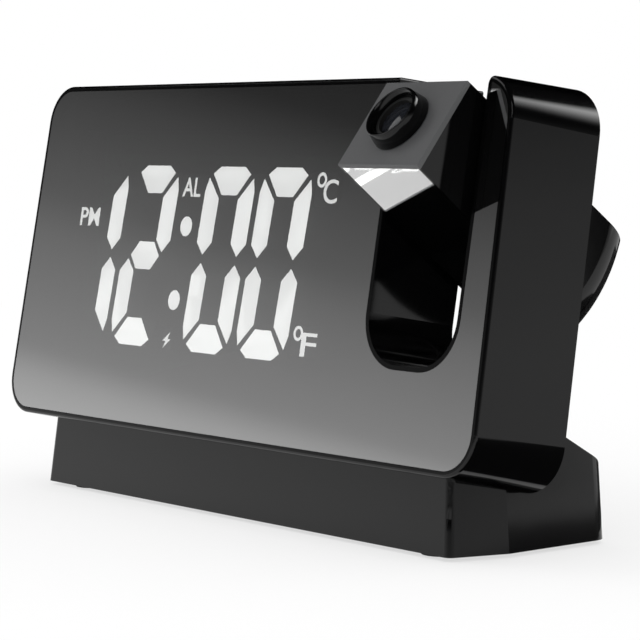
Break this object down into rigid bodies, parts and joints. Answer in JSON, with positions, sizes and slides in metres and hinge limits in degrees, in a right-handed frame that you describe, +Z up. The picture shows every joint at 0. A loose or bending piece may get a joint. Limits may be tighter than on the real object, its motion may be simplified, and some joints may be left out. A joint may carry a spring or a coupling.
{
  "type": "projection alarm clock",
  "caption": "Alarm clock with a long half-mirror digital face leaning back on a saddle base, and a tilting projector arm in a U-shaped slot at the right.",
  "frame": {"origin": "middle of the bottom of the clock's bounding box, on the table", "axes": "+Z up, -Y out of the clock face, +X towards the projector end"},
  "size_m": [0.1902, 0.065, 0.104],
  "materials": {
    "gloss_black": "high gloss moulding",
    "half_mirror": "tinted half mirror on clear acrylic",
    "satin_grey": "satin",
    "matt_black": "fine matt moulding",
    "white_diffuser": "milky, lit from behind",
    "board_green": "solder resist",
    "lens_glass": "polished",
    "steel": "plated",
    "foot_rubber": "matt",
    "lamp_white": "moulded",
    "film_brown": "polyimide film"
  },
  "bodies": {
    "clock": {"body_shell": "gloss_black", "mirror_panel": "half_mirror", "segment_mask": "matt_black", "segment_diffusers": "white_diffuser", "icon_diffusers": "white_diffuser", "display_leds": "lamp_white", "display_board": "board_green", "display_ribbon": "film_brown", "main_board": "board_green", "board_screws": "steel", "key_switches": "matt_black", "snooze_switch": "matt_black", "temperature_sensor": "matt_black", "rear_cover": "matt_black", "cover_screws": "steel", "mount_screws": "steel", "base_shell": "gloss_black", "base_plate": "matt_black", "base_screws": "steel", "rubber_feet": "foot_rubber", "port_board": "board_green", "charge_socket": "steel", "power_inlet": "steel", "sounder": "matt_black", "cell_holder": "matt_black", "coin_cell": "steel"},
    "projector": {"projector_case": "gloss_black", "projector_panel": "half_mirror", "lens_plate": "satin_grey", "optics_carrier": "matt_black", "picture_glass": "lens_glass", "condenser_lens": "lens_glass", "projector_board": "board_green", "projector_lamp": "lamp_white", "pivot_pin_left": "matt_black", "pivot_pin_right": "matt_black", "pivot_washers": "matt_black", "pivot_clips": "steel"},
    "focus_ring": {"focus_ring": "gloss_black"},
    "lens_cell": {"lens_cell": "matt_black", "projection_lens": "lens_glass"},
    "snooze_bar": {"snooze_bar": "gloss_black"},
    "battery_door": {"battery_door": "matt_black"},
    "button_set": {"button_set": "gloss_black"},
    "button_alarm": {"button_alarm": "gloss_black"},
    "button_up": {"button_up": "gloss_black"},
    "button_down": {"button_down": "gloss_black"},
    "button_projector": {"button_projector": "gloss_black"}
  },
  "joints": [
    {"name": "projector_tilt", "type": "hinge", "parent": "clock", "child": "projector", "pos_m": [0.06825, -0.00446, 0.07848], "axis": [1, 0, 0], "range_deg": [-152.1, 27.9]},
    {"name": "focus_turn", "type": "hinge", "parent": "projector", "child": "focus_ring", "pos_m": [0.06825, -0.00446, 0.07848], "axis": [0, -0.7934, 0.6088], "range_deg": [-60, 60]},
    {"name": "lens_travel", "type": "slide", "parent": "focus_ring", "child": "lens_cell", "axis": [0, -0.7934, 0.6088], "range_m": [-0.0006, 0.0006]},
    {"name": "snooze_press", "type": "slide", "parent": "clock", "child": "snooze_bar", "axis": [0, -0.1668, -0.986], "range_m": [0, 0.0009], "stiffness_N_per_m": 600, "springref_m": -0.0012},
    {"name": "set_press", "type": "slide", "parent": "clock", "child": "button_set", "axis": [0, -0.986, 0.1668], "range_m": [0, 0.0005], "stiffness_N_per_m": 800, "springref_m": -0.0012},
    {"name": "alarm_press", "type": "slide", "parent": "clock", "child": "button_alarm", "axis": [0, -0.986, 0.1668], "range_m": [0, 0.0005], "stiffness_N_per_m": 800, "springref_m": -0.0012},
    {"name": "up_press", "type": "slide", "parent": "clock", "child": "button_up", "axis": [0, -0.986, 0.1668], "range_m": [0, 0.0005], "stiffness_N_per_m": 800, "springref_m": -0.0012},
    {"name": "down_press", "type": "slide", "parent": "clock", "child": "button_down", "axis": [0, -0.986, 0.1668], "range_m": [0, 0.0005], "stiffness_N_per_m": 800, "springref_m": -0.0012},
    {"name": "projector_press", "type": "slide", "parent": "clock", "child": "button_projector", "axis": [0, -0.986, 0.1668], "range_m": [0, 0.0005], "stiffness_N_per_m": 800, "springref_m": -0.0012},
    {"name": "door_turn", "type": "hinge", "parent": "clock", "child": "battery_door", "pos_m": [0.042, 0.00207, 0.0025], "axis": [0, 0, -1], "range_deg": [0, 45]}
  ],
  "couplings": [
    {"joint": "focus_turn", "follows": "lens_travel", "rad_per_m": 1740}
  ]
}
